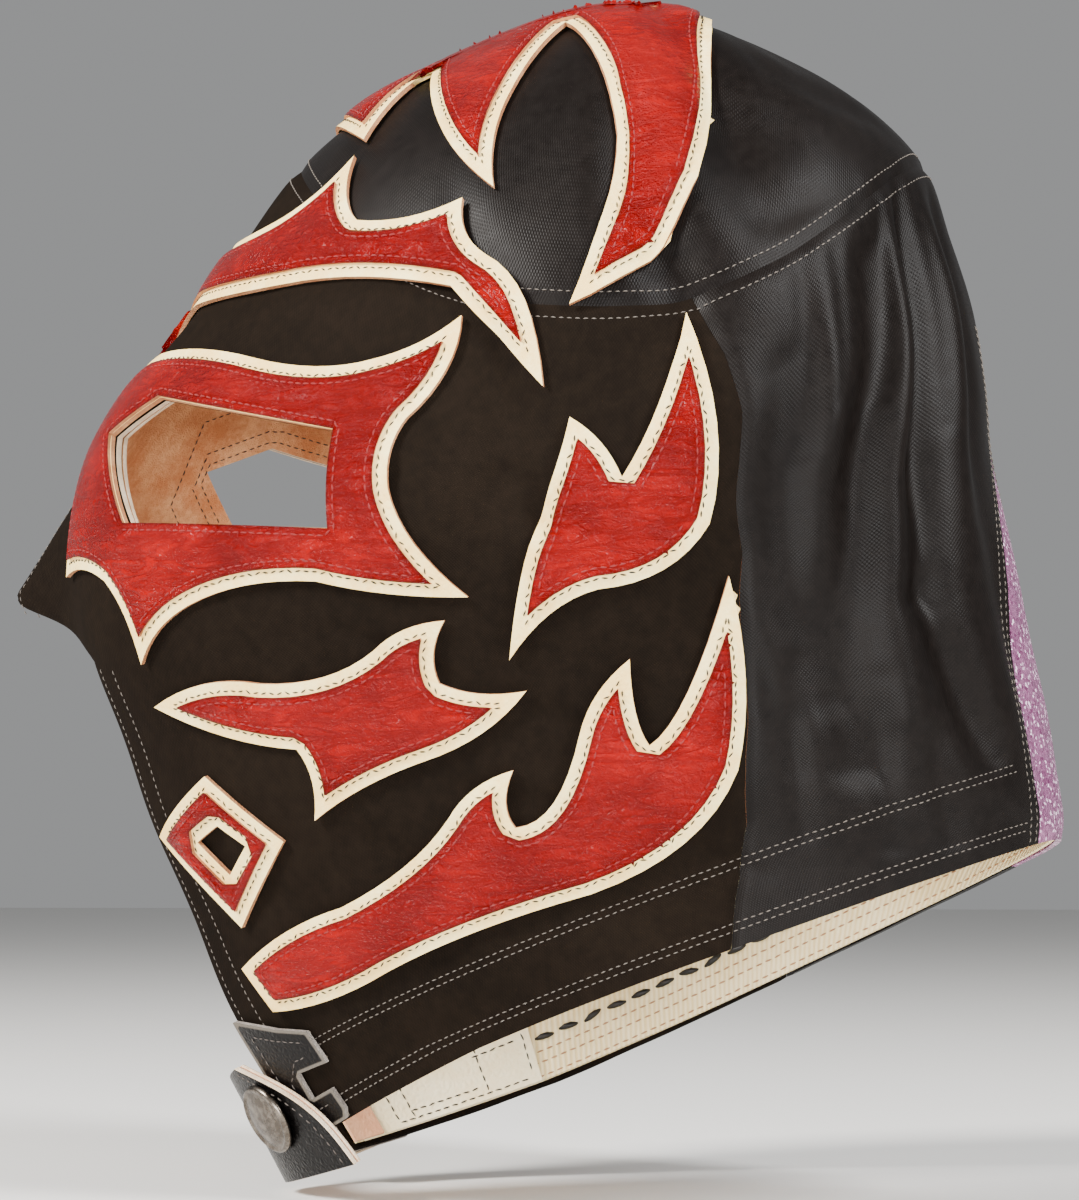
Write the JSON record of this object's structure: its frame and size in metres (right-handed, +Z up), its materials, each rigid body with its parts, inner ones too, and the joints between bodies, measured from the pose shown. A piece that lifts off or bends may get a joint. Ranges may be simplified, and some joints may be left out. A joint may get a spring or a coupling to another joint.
{
  "type": "wrestler's mask",
  "caption": "Full-head fabric wrestler's mask with sewn leather flames, eye holes, an open mouth and a snap strap under the chin.",
  "frame": {"origin": "inside of the crown, where the top of the head bears", "axes": "+Z up, the face looks along -Y, +X is the wearer's left"},
  "size_m": [0.157, 0.2389, 0.2648],
  "materials": {
    "crown_cloth": "black stretch cloth with a soft sheen",
    "shiny_cloth": "black stretch cloth with a soft sheen",
    "face_cloth": "matt brown-black cloth",
    "suede": "tan suede",
    "cream_leather": "smooth cream leather",
    "white_leather": "smooth off-white leather",
    "red_leather": "glossy crinkled leather",
    "black_leather": "glossy black leather",
    "glitter_cloth": "purple glitter cloth",
    "dark_pewter": "dark polished metal"
  },
  "bodies": {
    "root": {"crown_left": "crown_cloth", "crown_right": "crown_cloth", "face_panel_left": "face_cloth", "face_panel_right": "face_cloth", "face_lining_left": "suede", "face_lining_right": "suede", "hem_facing_left": "cream_leather", "hem_facing_right": "cream_leather", "back_gore": "glitter_cloth", "back_panel_left": "shiny_cloth", "back_panel_right": "shiny_cloth", "crest_flame_border_left": "cream_leather", "crest_flame_border_right": "cream_leather", "crest_flame_left": "red_leather", "crest_flame_right": "red_leather", "brow_flame_border_left": "cream_leather", "brow_flame_border_right": "cream_leather", "brow_flame_left": "red_leather", "brow_flame_right": "red_leather", "eye_flame_border_left": "cream_leather", "eye_flame_border_right": "cream_leather", "eye_flame_left": "red_leather", "eye_flame_right": "red_leather", "temple_flame_border_left": "cream_leather", "temple_flame_border_right": "cream_leather", "temple_flame_left": "red_leather", "temple_flame_right": "red_leather", "cheek_flame_border_left": "cream_leather", "cheek_flame_border_right": "cream_leather", "cheek_flame_left": "red_leather", "cheek_flame_right": "red_leather", "jaw_flame_border_left": "cream_leather", "jaw_flame_border_right": "cream_leather", "jaw_flame_left": "red_leather", "jaw_flame_right": "red_leather", "chin_diamond_border_left": "cream_leather", "chin_diamond_border_right": "cream_leather", "chin_diamond_left": "red_leather", "chin_diamond_right": "red_leather", "chin_patch_left": "black_leather", "chin_patch_right": "black_leather", "strap_root_patch": "white_leather", "chin_strap_lining": "cream_leather", "chin_strap": "black_leather", "snap_cap": "dark_pewter"}
  },
  "joints": []
}
